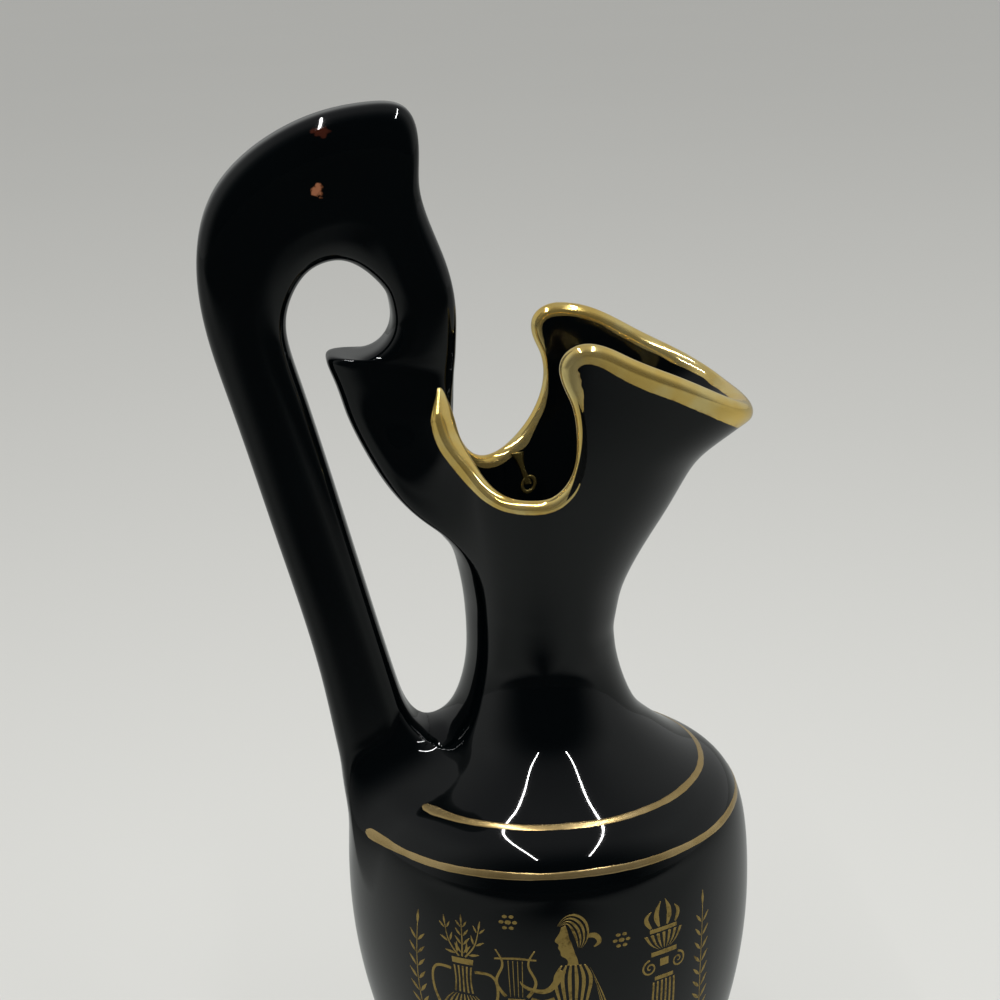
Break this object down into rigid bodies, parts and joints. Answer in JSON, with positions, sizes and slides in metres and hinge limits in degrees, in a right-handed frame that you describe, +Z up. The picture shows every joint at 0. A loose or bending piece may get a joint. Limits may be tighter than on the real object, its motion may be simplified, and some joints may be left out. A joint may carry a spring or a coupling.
{
  "type": "ceramic ewer vase",
  "caption": "Footed black-glazed ceramic ewer vase with a cut-away pouring mouth, a tall strap handle that curls over an open eye, and gilded rim and lines.",
  "frame": {"origin": "centre of the flat underside of the foot", "axes": "+Z up along the turning axis, +X towards the pouring spout, -X towards the handle"},
  "size_m": [0.0876, 0.0692, 0.2201],
  "materials": {
    "black_glaze": "deep glossy black glaze",
    "gold_lustre": "fired bright gold, mirror-like on the lip and satin on the lines"
  },
  "bodies": {
    "root": {"foot": "black_glaze", "belly": "black_glaze", "neck_spout": "black_glaze", "handle": "black_glaze", "rim_gilding": "gold_lustre", "shoulder_line_upper": "gold_lustre", "shoulder_line_lower": "gold_lustre", "bowl_line": "gold_lustre", "foot_line": "gold_lustre"}
  },
  "joints": []
}
